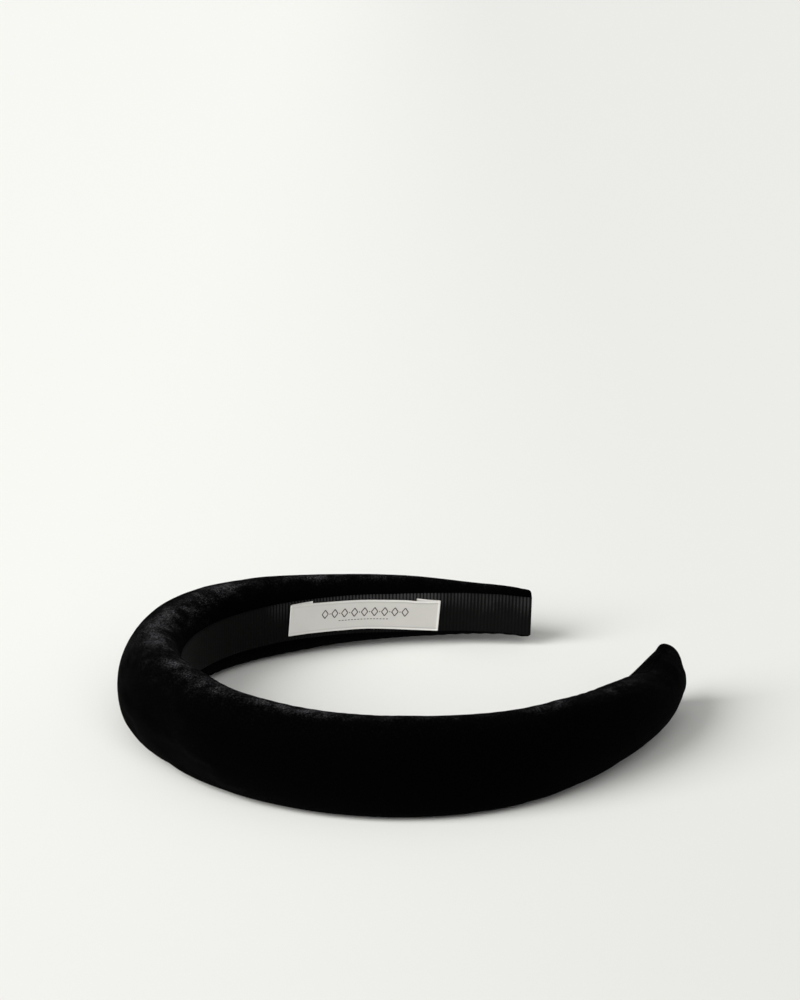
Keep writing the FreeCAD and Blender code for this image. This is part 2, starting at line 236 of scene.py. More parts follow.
def node(nt, kind, **values):
    n = nt.nodes.new(kind)
    for k, v in values.items():
        if k in n.inputs:
            n.inputs[k].default_value = v
        else:
            setattr(n, k, v)
    return n


def ramp(nt, stops, fac):
    r = nt.nodes.new("ShaderNodeValToRGB")
    el = r.color_ramp.elements
    while len(el) < len(stops):
        el.new(0.5)
    for e, (pos, col) in zip(el, stops):
        e.position = pos
        e.color = (*col, 1) if len(col) == 3 else col
    nt.links.new(fac, r.inputs["Fac"])
    return r.outputs["Color"]


def grey(v):
    return (v, v, v)


def velvet_material():
    m, nt, b = material("velvet_black_crushed_painted_sheen")
    L = nt.links.new
    tc = node(nt, "ShaderNodeTexCoord")
    patch = node(nt, "ShaderNodeAttribute", attribute_name="crush_and_painted_sheen")
    # crushed pile: small tufts lying every way, in patches, read with the crush mask that also carries painted sheen
    warp = node(nt, "ShaderNodeTexNoise", Scale=260.0, Detail=2.0)
    L(tc.outputs["Object"], warp.inputs["Vector"])
    add = node(nt, "ShaderNodeVectorMath", operation="MULTIPLY_ADD")
    add.inputs[1].default_value = (0.0022, 0.0022, 0.0022)
    L(warp.outputs["Color"], add.inputs[0])
    L(tc.outputs["Object"], add.inputs[2])
    tuft = node(nt, "ShaderNodeTexVoronoi", Scale=1900.0, feature="SMOOTH_F1")
    tuft.inputs["Smoothness"].default_value = 0.35
    L(add.outputs[0], tuft.inputs["Vector"])
    speck = node(nt, "ShaderNodeTexNoise", Scale=2300.0, Detail=3.0, Roughness=0.6)
    L(add.outputs[0], speck.inputs["Vector"])
    sharp = node(nt, "ShaderNodeMapRange", interpolation_type="SMOOTHSTEP")
    for key, val in (("From Min", 0.40), ("From Max", 0.62), ("To Min", 0.18), ("To Max", 1.0)):
        sharp.inputs[key].default_value = val
    L(speck.outputs["Fac"], sharp.inputs["Value"])
    mul = node(nt, "ShaderNodeMath", operation="MULTIPLY")
    L(sharp.outputs["Result"], mul.inputs[0])
    L(patch.outputs["Fac"], mul.inputs[1])
    mul2 = node(nt, "ShaderNodeMath", operation="MULTIPLY")
    L(mul.outputs[0], mul2.inputs[0])
    tr = node(nt, "ShaderNodeMapRange")
    tr.inputs["From Min"].default_value = 0.15
    tr.inputs["From Max"].default_value = 0.75
    tr.inputs["To Min"].default_value = 1.2
    tr.inputs["To Max"].default_value = 0.4
    L(tuft.outputs["Distance"], tr.inputs["Value"])
    L(tr.outputs["Result"], mul2.inputs[1])
    # base colour lifted by the mask: the bright stops are painted sheen highlights on the rim, the lit side and upward
    # faces
    col = ramp(nt, [(0.0, (0.00012, 0.00012, 0.00013)), (0.06, (0.0005, 0.0005, 0.00055)),
                    (0.28, (0.0160, 0.0157, 0.0168)), (0.72, (0.066, 0.065, 0.069))], mul2.outputs[0])
    L(col, b.inputs["Base Color"])
    rough = node(nt, "ShaderNodeMapRange")
    rough.inputs["To Min"].default_value = 0.80
    rough.inputs["To Max"].default_value = 0.97
    L(speck.outputs["Fac"], rough.inputs["Value"])
    L(rough.outputs["Result"], b.inputs["Roughness"])
    b.inputs["Specular IOR Level"].default_value = 0.01
    b.inputs["Sheen Weight"].default_value = 0.0022
    b.inputs["Sheen Roughness"].default_value = 0.4
    b.inputs["Sheen Tint"].default_value = (0.9, 0.92, 1.0, 1)
    # pile direction and tufts as relief
    fine = node(nt, "ShaderNodeTexNoise", Scale=3800.0, Detail=3.0, Roughness=0.6)
    L(tc.outputs["Object"], fine.inputs["Vector"])
    b1 = node(nt, "ShaderNodeBump", Strength=0.55, Distance=0.00018)
    L(fine.outputs["Fac"], b1.inputs["Height"])
    b2 = node(nt, "ShaderNodeBump", Strength=0.6, Distance=0.0004)
    L(speck.outputs["Fac"], b2.inputs["Height"])
    L(b1.outputs["Normal"], b2.inputs["Normal"])
    L(b2.outputs["Normal"], b.inputs["Normal"])
    return m


def grosgrain_material():
    m, nt, b = material("grosgrain_black")
    L = nt.links.new
    tc = node(nt, "ShaderNodeTexCoord")
    rib = node(nt, "ShaderNodeAttribute", attribute_name="rib")
    wear = node(nt, "ShaderNodeTexNoise", Scale=120.0, Detail=3.0)
    L(tc.outputs["Object"], wear.inputs["Vector"])
    thread = node(nt, "ShaderNodeTexNoise", Scale=2600.0, Detail=2.0, Roughness=0.6)
    L(tc.outputs["Object"], thread.inputs["Vector"])
    mix = node(nt, "ShaderNodeMath", operation="MULTIPLY_ADD")
    mix.inputs[1].default_value = 0.35
    L(thread.outputs["Fac"], mix.inputs[0])
    L(rib.outputs["Fac"], mix.inputs[2])
    mix2 = node(nt, "ShaderNodeMath", operation="MULTIPLY_ADD")
    mix2.inputs[1].default_value = 0.5
    L(wear.outputs["Fac"], mix2.inputs[0])
    L(mix.outputs[0], mix2.inputs[2])
    # the rib attribute's bright end is painted highlight on the rib crests
    col = ramp(nt, [(0.15, (0.0004, 0.0004, 0.0004)), (0.30, (0.0007, 0.0007, 0.0007)), (0.50, (0.0018, 0.0018, 0.0018)), (0.82, (0.0290, 0.0285, 0.0285))],
               node_scaled(nt, mix2.outputs[0], 1 / 1.85))
    L(col, b.inputs["Base Color"])
    rough = node(nt, "ShaderNodeMapRange")
    rough.inputs["To Min"].default_value = 0.55
    rough.inputs["To Max"].default_value = 0.8
    L(thread.outputs["Fac"], rough.inputs["Value"])
    L(rough.outputs["Result"], b.inputs["Roughness"])
    b.inputs["Specular IOR Level"].default_value = 0.06
    b.inputs["Sheen Weight"].default_value = 0.002
    b.inputs["Sheen Roughness"].default_value = 0.4
    bump = node(nt, "ShaderNodeBump", Strength=0.5, Distance=0.00012)
    L(thread.outputs["Fac"], bump.inputs["Height"])
    L(bump.outputs["Normal"], b.inputs["Normal"])
    return m


def node_scaled(nt, socket, k):
    n = node(nt, "ShaderNodeMath", operation="MULTIPLY")
    n.inputs[1].default_value = k
    nt.links.new(socket, n.inputs[0])
    return n.outputs[0]


def label_material():
    m, nt, b = material("label_satin_cream")
    L = nt.links.new
    uv = node(nt, "ShaderNodeUVMap", uv_map="cloth")
    # fine warp-faced satin: threads along the label, tiny floats across
    wave = node(nt, "ShaderNodeTexWave", wave_type="BANDS", bands_direction="Y", Scale=2600.0, Distortion=0.6, Detail=1.0)
    L(uv.outputs["UV"], wave.inputs["Vector"])
    sep = node(nt, "ShaderNodeMapping")
    sep.inputs["Scale"].default_value = (900.0, 5200.0, 1.0)
    L(uv.outputs["UV"], sep.inputs["Vector"])
    slub = node(nt, "ShaderNodeTexNoise", Scale=1.0, Detail=3.0, Roughness=0.6)
    L(sep.outputs[0], slub.inputs["Vector"])
    soft = node(nt, "ShaderNodeTexNoise", Scale=90.0, Detail=2.0)
    L(uv.outputs["UV"], soft.inputs["Vector"])
    edge = node(nt, "ShaderNodeAttribute", attribute_name="edge")
    a = node(nt, "ShaderNodeMath", operation="MULTIPLY_ADD")
    a.inputs[1].default_value = 0.5
    L(slub.outputs["Fac"], a.inputs[0])
    L(soft.outputs["Fac"], a.inputs[2])
    base = ramp(nt, [(0.3, (0.42, 0.410, 0.383)), (0.75, (0.475, 0.464, 0.433)), (1.0, (0.51, 0.50, 0.467))],
                node_scaled(nt, a.outputs[0], 0.75))
    mix = node(nt, "ShaderNodeMix", data_type="RGBA")
    L(edge.outputs["Fac"], mix.inputs["Factor"])
    L(base, mix.inputs["A"])
    mix.inputs["B"].default_value = (0.27, 0.262, 0.25, 1)
    # denser, brighter selvedges; the bright band at the right fold is a painted highlight, and the brightening towards
    # the label's left end is painted light against the crown's cast shadow
    selvedge_light_attr = node(nt, "ShaderNodeAttribute", attribute_name="selvedge_and_painted_light")
    mix3 = node(nt, "ShaderNodeMix", data_type="RGBA")
    L(selvedge_light_attr.outputs["Fac"], mix3.inputs["Factor"])
    L(mix.outputs["Result"], mix3.inputs["A"])
    mix3.inputs["B"].default_value = (0.74, 0.725, 0.69, 1)
    L(mix3.outputs["Result"], b.inputs["Base Color"])
    b.inputs["Roughness"].default_value = 0.5
    b.inputs["Specular IOR Level"].default_value = 0.25
    b.inputs["Sheen Weight"].default_value = 0.1
    bump = node(nt, "ShaderNodeBump", Strength=0.35, Distance=0.00006)
    L(wave.outputs["Fac"], bump.inputs["Height"])
    L(bump.outputs["Normal"], b.inputs["Normal"])
    return m


def motif_material():
    m, nt, b = material("label_motif_thread")
    L = nt.links.new
    tc = node(nt, "ShaderNodeTexCoord")
    n = node(nt, "ShaderNodeTexNoise", Scale=2400.0, Detail=2.0)
    L(tc.outputs["Object"], n.inputs["Vector"])
    L(ramp(nt, [(0.3, (0.055, 0.040, 0.042)), (0.7, (0.110, 0.085, 0.088))], n.outputs["Fac"]), b.inputs["Base Color"])
    b.inputs["Roughness"].default_value = 0.65
    b.inputs["Specular IOR Level"].default_value = 0.2
    return m


def plastic_material():
    m, nt, b = material("core_plastic_black")
    L = nt.links.new
    tc = node(nt, "ShaderNodeTexCoord")
    n = node(nt, "ShaderNodeTexNoise", Scale=900.0, Detail=4.0)
    L(tc.outputs["Object"], n.inputs["Vector"])
    L(ramp(nt, [(0.3, grey(0.018)), (0.7, grey(0.034))], n.outputs["Fac"]), b.inputs["Base Color"])
    r = node(nt, "ShaderNodeMapRange")
    r.inputs["To Min"].default_value = 0.35
    r.inputs["To Max"].default_value = 0.55
    L(n.outputs["Fac"], r.inputs["Value"])
    L(r.outputs["Result"], b.inputs["Roughness"])
    bump = node(nt, "ShaderNodeBump", Strength=0.2, Distance=0.0001)
    L(n.outputs["Fac"], bump.inputs["Height"])
    L(bump.outputs["Normal"], b.inputs["Normal"])
    return m


def foam_material():
    m, nt, b = material("foam_open_cell")
    L = nt.links.new
    tc = node(nt, "ShaderNodeTexCoord")
    v = node(nt, "ShaderNodeTexVoronoi", Scale=1400.0, feature="DISTANCE_TO_EDGE")
    L(tc.outputs["Object"], v.inputs["Vector"])
    # the pores are painted darker than the cell walls: painted shade in the recesses
    L(ramp(nt, [(0.0, grey(0.07)), (0.25, grey(0.028)), (1.0, grey(0.012))], v.outputs["Distance"]), b.inputs["Base Color"])
    b.inputs["Roughness"].default_value = 0.95
    b.inputs["Specular IOR Level"].default_value = 0.1
    bump = node(nt, "ShaderNodeBump", Strength=0.8, Distance=0.0003, invert=True)
    L(v.outputs["Distance"], bump.inputs["Height"])
    L(bump.outputs["Normal"], b.inputs["Normal"])
    return m


# =====================================================================================
# Velvet cover
# =====================================================================================
def seam_half(s):
    return 0.6 - 0.58 * float(step_up(abs(s), ARM - 9, ARM - 4))


def velvet_rows(pitch, cap_rows):
    n = int(round((ARM - END_ROUND) / pitch))
    inner = np.linspace(0, ARM - END_ROUND, n + 1)
    end = ARM - END_ROUND * (1 - np.sin(np.linspace(0, math.pi / 2, max(4, int(2.4 * END_ROUND / pitch))))[1:])
    half = np.concatenate([inner, end])
    rows = [(float(s), 1.0, 0.0) for s in half]
    for k in range(1, cap_rows + 1):
        t = k / (cap_rows + 0.35) * math.pi / 2
        rows.append((ARM, math.cos(t), math.sin(t)))
    return [(-s, r, b) for s, r, b in reversed(rows[1:])] + rows


def velvet_grid(rows, nj, inset=0.0):
    """Grid of (dist, q, z), row by row, and its points."""
    D, Q, Z = [], [], []
    for s, r, bulge in rows:
        line = even(section(s, inset, FACE + inset, seam_half(s)), nj)
        q, z = line[:, 0], line[:, 1]
        d = np.full(nj, abs(s))
        if r < 1.0:
            qm = FACE + 0.45 * (q.max() - FACE)
            q, z = qm + (q - qm) * r, z * r
            d = d + bulge * 0.45 - 0.12 * (1 - r)
        if inset:
            d = d - inset
        D.append(np.copysign(d, s if s else 1)), Q.append(q), Z.append(z)
    D, Q, Z = np.array(D), np.array(Q), np.array(Z)
    return D, Q, Z, place(D, Q, Z)


def simulated_swell(pitch=2.6, nj=58):
    """The cover as cloth under the foam's pressure, held where the lining holds it: how far each point moves, on a coarse grid."""
    rows = velvet_rows(pitch, 3)
    D, Q, Z, P = velvet_grid(rows, nj, inset=0.35)
    N = grid_normals(P)
    ni = len(rows)
    flank = np.abs(Z) / FLAT_HALF
    jitter = fractal(P * 1000, 5.0, 2, seed=5)
    start = P + N * (0.00006 * jitter)[..., None]
    ob = mesh_object("cover_sim", start.reshape(-1, 3), grid_faces(ni, nj))
    pin = ob.vertex_groups.new(name="pin")
    held = (Q < FACE + 0.35 + 0.02) | (np.arange(ni)[:, None] < 4) | (np.arange(ni)[:, None] >= ni - 4)
    pin.add([int(k) for k in np.flatnonzero(held.reshape(-1))], 1.0, "REPLACE")
    mod = ob.modifiers.new("cloth", "CLOTH")
    st = mod.settings
    st.quality = 6
    st.mass = 0.12
    st.tension_stiffness = 12
    st.compression_stiffness = 6
    st.shear_stiffness = 3
    st.bending_stiffness = 0.08
    st.use_pressure = True
    st.uniform_pressure_force = 4.0
    st.shrink_min = -0.02
    st.vertex_group_mass = "pin"
    st.effector_weights.gravity = 0.0
    mod.collision_settings.use_collision = False
    mod.point_cache.frame_start, mod.point_cache.frame_end = 1, 24
    sc = bpy.context.scene
    for f in range(1, 21):
        sc.frame_set(f)
    dg = bpy.context.evaluated_depsgraph_get()
    ev = ob.evaluated_get(dg)
    me = ev.to_mesh()
    co = np.zeros(len(me.vertices) * 3, np.float32)
    me.vertices.foreach_get("co", co)
    ev.to_mesh_clear()
    sc.frame_set(1)
    co = co.reshape(ni, nj, 3).astype(float)
    move = ((co - P) * N).sum(-1) - 0.00035
    bpy.data.objects.remove(ob)
    dist = np.array([math.copysign(abs(s) + b * 0.45, s if s else 1) for s, r, b in rows])
    return dist, move


def sample_grid(src_rows, src, rows, nj):
    """A coarse field read at finer rows and columns, smoothly."""
    a = np.array([np.interp(rows, src_rows, src[:, j]) for j in range(src.shape[1])]).T
    u, v = np.linspace(0, 1, src.shape[1]), np.linspace(0, 1, nj)
    return np.array([np.interp(v, u, a[i]) for i in range(a.shape[0])])


def blur(a, n, axis):
    k = np.hanning(2 * n + 3)[1:-1]
    k = k / k.sum()
    pad = [(0, 0)] * a.ndim
    pad[axis] = (n, n)
    b = np.pad(a, pad, mode="edge")
    return np.apply_along_axis(lambda r: np.convolve(r, k, mode="valid"), axis, b)


def make_velvet():
    pitch, nj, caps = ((0.72, 132, 9))
    rows = velvet_rows(pitch, caps)
    ni = len(rows)
    D, Q, Z, P = velvet_grid(rows, nj)
    N = grid_normals(P)
    row_at = np.array([math.copysign(abs(s) + b * 0.45, s if s else 1) for s, r, b in rows])
    body = np.array([r for s, r, b in rows])[:, None] * np.ones((1, nj))
    swell = np.zeros((ni, nj))
    src_rows, move = simulated_swell()
    move = np.clip(move, -0.0005, 0.0005)
    move = move - blur(blur(move, 14, 0), 6, 1)
    swell = sample_grid(src_rows, move, row_at, nj)
    swell = blur(blur(swell, 2, 0), 2, 1)
    mm = P * 1000
    open_face = step_up(Q, FACE + 0.05, FACE + 1.6)
    # the foam is never quite even
    lumps = 0.16 * fractal(mm, 26.0, 2, seed=3) + 0.05 * fractal(mm, 9.0, 2, seed=11)
    # gathers where the cloth turns in round the tight inner edge: short, across the edge
    S = D[:, :1] * np.ones((1, nj))
    near_edge = step_up(Q, FACE + 0.1, FACE + 1.4) * (1 - step_up(Q, FACE + 2.5, FACE + 8.0))
    top = np.where(Z > 0, 1.0, 0.0)
    ph = 1.9 * noise(np.stack([S / 11.0, top * 3.1, Q * 0.02], -1), 1.0, seed=21)
    gathers = 0.085 * near_edge * np.sin(2 * math.pi * S / 4.3 + 5 * ph) * (0.35 + 0.65 * step_up(noise(np.stack([S / 17.0, top * 7.7, 0 * S], -1), 1.0, seed=31), -0.3, 0.6))
    # crushed pile: patches of small uneven tufts, most along the upper inner rim over the crown, where the mask also
    # paints sheen highlights into the colour
    up = N[..., 2]
    at = [-ARM, -150, -120, -90, -60, -36, -18, 0, 20, 50, 68, 84, 98, 120, 140, ARM]
    centre_q = np.interp(S, at, [6.5, 7.2, 7.8, 8.0, 8.0, 7.2, 6.6, 6.0, 6.0, 6.6, 7.2, 7.2, 6.8, 6.6, 6.2, 5.0])
    spread = np.interp(S, at, [2.0, 2.2, 2.5, 2.2, 2.4, 2.6, 3.2, 4.6, 5.0, 4.8, 4.2, 3.4, 2.4, 2.2, 2.2, 2.0])
    amount = np.interp(S, at, [0.12, 0.30, 0.60, 0.60, 1.0, 1.1, 1.1, 1.1, 1.1, 1.1, 1.0, 0.95, 1.0, 0.90, 0.55, 0.15])
    rim = step_up(Z, 3.0, 8.0) * np.exp(-((Q - centre_q) / spread) ** 2) * amount
    patches = step_up(fractal(mm, 9.0, 3, seed=41), -0.30, 0.30)
    broken = step_up(fractal(mm, 3.0, 3, seed=47), -0.35, 0.40)
    # painted light: the outer side beside the crown, which faces the key light, is lifted in colour
    side = 0.11 * step_up(Z, -8, 2) * np.exp(-((S - 38) / 17.0) ** 2) * step_up(Q, 8, 12) * patches
    # the mask: the pile's crush pattern, plus painted sheen on the rim and outer side, and painted sheen on
    # upward-facing surfaces
    crush_and_painted_sheen = np.clip(rim * (0.30 + 0.70 * patches) * (0.25 + 0.75 * broken) + side + 0.035 + 0.04 * step_up(up, 0.2, 0.8), 0, 1)
    tufts = 0.055 * crush_and_painted_sheen * fractal(mm, 1.9, 2, seed=53) + 0.012 * fractal(mm, 1.6, 1, seed=59)
    height = (swell * 1000 * 0.8 + lumps + gathers + tufts) * open_face * step_up(body, 0.0, 0.6)
    P2 = P + N * (height / 1000)[..., None]
    # where it rests, the padding gives a little and lies flat
    P2[..., 2] = np.where(P2[..., 2] < 0.00045, 0.00045 - 0.00045 * (1 - np.exp(-(0.00045 - P2[..., 2]) / 0.00045)), P2[..., 2])
    verts = list(P2.reshape(-1, 3))
    faces = grid_faces(ni, nj)
    # the end caps' last small ring
    faces.append(tuple(range(nj - 1, -1, -1)))
    faces.append(tuple((ni - 1) * nj + j for j in range(nj)))
    outer_n = len(verts)
    # the cloth's back, coarser
    k = 6
    back_rows = [i for i in range(caps, ni - caps, k)]
    if back_rows[-1] != ni - caps - 1:
        back_rows.append(ni - caps - 1)
    cols = list(range(0, nj, k))
    if cols[-1] != nj - 1:
        cols.append(nj - 1)
    lines = []
    for i in back_rows:
        s = rows[i][0]
        line = even(section(s, 0.9, FACE + 0.9, max(seam_half(s), 0.02)), nj)[cols]
        lines.append(place(np.clip(s, -(ARM - 0.9), ARM - 0.9), line[:, 0], line[:, 1]))
    bi, bj = len(back_rows), len(cols)
    base = len(verts)
    verts += list(np.array(lines).reshape(-1, 3))
    faces += grid_faces(bi, bj, base, flip=True)
    faces.append(tuple(base + j for j in range(bj)))
    faces.append(tuple(base + (bi - 1) * bj + j for j in range(bj - 1, -1, -1)))
    # the cut edges at the seam join front and back
    for side, j_out, j_in in ((0, 0, 0), (1, nj - 1, bj - 1)):
        for r in range(bi - 1):
            fine = [i * nj + j_out for i in range(back_rows[r], back_rows[r + 1] + 1)]
            a, b = base + r * bj + j_in, base + (r + 1) * bj + j_in
            loop = fine + [b, a]
            faces.append(tuple(loop) if side == 0 else tuple(reversed(loop)))
    ob = mesh_object("velvet_cover_cloth", verts, faces)
    # the mask goes to the shader, where it lifts the base colour: crushed pile with painted sheen
    att = ob.data.attributes.new("crush_and_painted_sheen", "FLOAT", "POINT")
    vals = np.zeros(len(verts), np.float32)
    vals[:outer_n] = crush_and_painted_sheen.reshape(-1)
    att.data.foreach_set("value", vals)
    return ob


# =====================================================================================
# Grosgrain lining
# =====================================================================================
def make_ribbon():
    rib = 1.10
    per = 6
    end = ARM + 0.25
    n = int(round(2 * end / rib)) * per
    S = np.linspace(-end, end, n + 1)
    phase = S / rib + 0.05 * np.sin(S / 6.1) + 0.04 * np.sin(S / 2.3 + 1.0)
    ridge = np.abs(np.cos(math.pi * phase)) ** 0.75
    # pressed flatter in stretches, and under the label
    press = 0.55 + 0.45 * step_up(noise(np.stack([S / 23.0, 0 * S, 0 * S], -1), 1.0, seed=71), -0.5, 0.4)
    press = press * np.interp(np.abs(S), [0, 55, 82, 100, 140, ARM], [0.10, 0.12, 0.38, 0.80, 1.0, 1.0])
    relief = 0.20 * ridge * press
    zs = np.array([-1.0, -0.975, -0.93, -0.72, -0.36, 0.0, 0.36, 0.72, 0.93, 0.975, 1.0])
    half = RIBBON_HALF - 0.10 + 0.12 * ridge
    wob = 0.05 * noise(np.stack([S / 9.0, 0 * S + 5, 0 * S], -1), 1.0, seed=73)
    # and it wanders a little off the middle on the far arm
    wander = np.interp(S, [-ARM, 55, 61, 82, 98, 120, 134, 144, 158, 170, ARM], [0, 0, -0.15, -0.15, 0.2, 0.3, 0.0, 0.0, 0.2, -0.05, -0.05])
    Zf = half[:, None] * zs[None, :] + (wob + wander)[:, None]
    edge_drop = np.array([0.17, 0.07, 0.0, 0, 0, 0, 0, 0, 0.0, 0.07, 0.17])
    Qf = 0.14 - relief[:, None] * (1 - 0.0 * zs[None, :]) + edge_drop[None, :]
    Qb = np.full_like(Qf, 0.44) - edge_drop[None, :] * 0.4
    # turned under at the tips: the last millimetre rolls back on itself
    roll = step_up(np.abs(S), end - 0.55, end)[:, None]
    Qf2 = Qf + roll * 0.42
    nj = len(zs)
    F, B = place(S[:, None], Qf2, Zf), place(S[:, None], Qb + roll * 0.5, Zf)
    verts = list(F.reshape(-1, 3)) + list(B.reshape(-1, 3))
    m = len(S)
    faces = grid_faces(m, nj, 0, flip=True)
    back = m * nj
    faces += grid_faces(m, nj, back)
    for i in range(m - 1):
        a, b = i * nj, (i + 1) * nj
        faces.append((a, b, back + b, back + a))
        a, b = i * nj + nj - 1, (i + 1) * nj + nj - 1
        faces.append((b, a, back + a, back + b))
    for i, flip in ((0, False), (m - 1, True)):
        for j in range(nj - 1):
            a, b = i * nj + j, i * nj + j + 1
            f = (a, back + a, back + b, b)
            faces.append(tuple(reversed(f)) if flip else f)
    ob = mesh_object("lining_grosgrain", verts, faces)
    att = ob.data.attributes.new("rib", "FLOAT", "POINT")
    # rib crests painted bright as highlights, brighter on the upper half of the ribbon; darker towards the crown
    upper_half_highlight = np.interp(zs, [-1, -0.2, 0.3, 0.9, 1], [0.55, 0.75, 1.1, 1.45, 1.1])
    tone_along_arm = np.interp(np.abs(S), [0, 80, 135, ARM], [-0.28, -0.26, 0.0, 0.06])
    r = ((ridge * press)[:, None] * upper_half_highlight[None, :] + tone_along_arm[:, None]).reshape(-1)
    att.data.foreach_set("value", np.concatenate([r, r * 0.5]).astype(np.float32))
    return ob


# =====================================================================================
# Woven label
# =====================================================================================
LABEL_S0, LABEL_S1 = 99.85, 149.8
SKEW = 0.066                                # its ends lean: mm along the arm per mm across


def label_z(s):
    """Lower and upper edge of the label at s: it sits a little askew."""
    s = np.asarray(s, float)
    lo = np.interp(s, [99.1, 106.4, 110.6, 118.8, 122.8, 126.8, 130.8, 134.7, 138.6, 142.5, 146.4, 149.5],
                   [-4.4, -4.38, -4.47, -4.58, -4.56, -4.64, -4.88, -5.16, -5.44, -5.67, -5.85, -6.0])
    hi = np.interp(s, [99.85, 108, 110.4, 114.5, 118.6, 122.6, 126.6, 130.5, 134.5, 138.4, 140.3, 142.2, 146.1, 149.5],
                   [5.6, 5.48, 5.38, 5.24, 5.12, 5.02, 4.89, 4.72, 4.54, 4.32, 4.13, 3.90, 3.80, 3.93])
    return lo, hi


def ribbon_sheet(points_s, points_q, lo, hi, thick, nj, name, uv0):
    """A thin closed strip: centre line (s, q), edges lo and hi at each point."""
    s, q = np.array(points_s), np.array(points_q)
    v = np.linspace(0, 1, nj)
    Zm = lo[:, None] * (1 - v) + hi[:, None] * v
    ds, dq = np.gradient(s), np.gradient(q)
    ln = np.hypot(ds, dq)
    nx, nq = -dq / ln, ds / ln
    half = thick / 2 * (1 - 0.75 * (np.abs(v * 2 - 1) > 0.985))
    lean = SKEW * (Zm - (lo + hi)[:, None] / 2)
    T = place(s[:, None] + lean - nx[:, None] * half[None, :], q[:, None] - nq[:, None] * half[None, :], Zm)
    B = place(s[:, None] + lean + nx[:, None] * half[None, :], q[:, None] + nq[:, None] * half[None, :], Zm)
    return T, B, Zm, np.concatenate([[0], np.cumsum(np.hypot(np.diff(s), np.diff(q)))])


def make_label():
    thick = 0.14
    top_q, under_q = -0.50, -0.20
    r = (under_q - top_q) / 2
    mid = (top_q + under_q) / 2
    tab0, tab1 = 7.6, 7.5
    # start: left tab lies underneath, turns round the left fold, runs over the top, round the right fold, right tab underneath
    s, q, kind = [], [], []
    for x in np.linspace(tab0, 0.4, 14):
        s.append(LABEL_S0 + r + x), q.append(under_q), kind.append(0)
    for t in np.linspace(0, math.pi, 9)[1:-1]:
        s.append(LABEL_S0 + r - r * math.sin(t)), q.append(mid + r * math.cos(t)), kind.append(1)
    for x in np.linspace(LABEL_S0 + r + 0.2, LABEL_S1 - r - 0.2, 90):
        u = (x - LABEL_S0) / (LABEL_S1 - LABEL_S0)
        belly = 0.13 * math.sin(math.pi * u) ** 0.6 * step_up(u, 0.12, 0.3) * (1 - step_up(u, 0.72, 0.9))
        s.append(x), q.append(top_q + float(belly)), kind.append(2)
    for t in np.linspace(math.pi, 0, 9)[1:-1]:
        s.append(LABEL_S1 - r + r * math.sin(t)), q.append(mid + r * math.cos(t)), kind.append(3)
    for x in np.linspace(0.4, tab1, 16):
        s.append(LABEL_S1 - r - x), q.append(under_q), kind.append(4)
    s, q, kind = np.array(s), np.array(q), np.array(kind)
    lo, hi = label_z(s)
    lo, hi = np.array(lo, float), np.array(hi, float)
    # the tabs were folded under slightly askew, so they show past the upper edge
    left, right = kind == 0, kind == 4
    dl, dr = (s[left] - LABEL_S0) / tab0, (LABEL_S1 - s[right]) / tab1
    hi[left] += 0.15 + 0.42 * dl
    lo[left] += 0.12 + 0.42 * dl
    hi[right] += 0.10 + 0.75 * dr
    lo[right] += 0.10 + 0.75 * dr
    for kk, amount in ((1, 0.12), (3, 0.10)):
        sel = np.flatnonzero(kind == kk)
        w = np.linspace(1, 0, len(sel)) if kk == 1 else np.linspace(0, 1, len(sel))
        hi[sel] += amount * w
        lo[sel] += amount * w
    nj = 65
    # a soft wave along the free edges
    hi = hi + 0.05 * np.sin(s / 3.7) * (kind == 2)
    T, B, Zm, along = ribbon_sheet(s, q, lo, hi, thick, nj, "label", 0)
    # woven-in ridges just inside both selvedges
    v = np.linspace(0, 1, nj)
    m = len(s)
    verts = list(T.reshape(-1, 3)) + list(B.reshape(-1, 3))
    back = m * nj
    faces = grid_faces(m, nj, 0, flip=True) + grid_faces(m, nj, back)
    for i in range(m - 1):
        a, b = i * nj, (i + 1) * nj
        faces.append((a, b, back + b, back + a))
        a, b = i * nj + nj - 1, (i + 1) * nj + nj - 1
        faces.append((b, a, back + a, back + b))
    for i, flip in ((0, False), (m - 1, True)):
        for j in range(nj - 1):
            a, b = i * nj + j, i * nj + j + 1
            f = (a, back + a, back + b, b)
            faces.append(tuple(reversed(f)) if flip else f)
    ob = mesh_object("label_cloth", verts, faces)
    edge = np.exp(-((v - 0.085) / 0.014) ** 2) * 0.7 + np.exp(-((v - 0.915) / 0.014) ** 2) * 0.7
    att = ob.data.attributes.new("edge", "FLOAT", "POINT")
    e = np.repeat(edge[None, :], m, 0).reshape(-1)
    att.data.foreach_set("value", np.concatenate([e, e]).astype(np.float32))
    band = 1 - step_up(0.5 - np.abs(v - 0.5), 0.045, 0.065)
    # painted highlight along the right fold
    fold = step_up(s, LABEL_S1 - 0.75, LABEL_S1 - 0.45)
    att = ob.data.attributes.new("selvedge_and_painted_light", "FLOAT", "POINT")
    # painted light: brighter towards the left end, against the shadow the crown casts there
    lift_crown_shadow = 0.60 * np.clip((LABEL_S1 - s) / (LABEL_S1 - LABEL_S0), 0, 1) ** 1.3
    e = np.maximum(np.maximum(0.62 * band[None, :], 0.70 * fold[:, None]), lift_crown_shadow[:, None]).reshape(-1)
    att.data.foreach_set("value", np.concatenate([e, e]).astype(np.float32))
    uvl = ob.data.uv_layers.new(name="cloth")
    U = np.repeat(along[:, None], nj, 1).reshape(-1) / 1000
    Vv = np.repeat(v[None, :] * 10.4, m, 0).reshape(-1) / 1000
    U, Vv = np.concatenate([U, U]), np.concatenate([Vv, Vv])
    loops = np.zeros(len(ob.data.loops), np.int32)
    ob.data.loops.foreach_get("vertex_index", loops)
    uvl.data.foreach_set("uv", np.stack([U[loops], Vv[loops]], -1).reshape(-1).astype(np.float32))
    flat = (0.0105, float(along[-1]) / 1000)
    return ob, flat


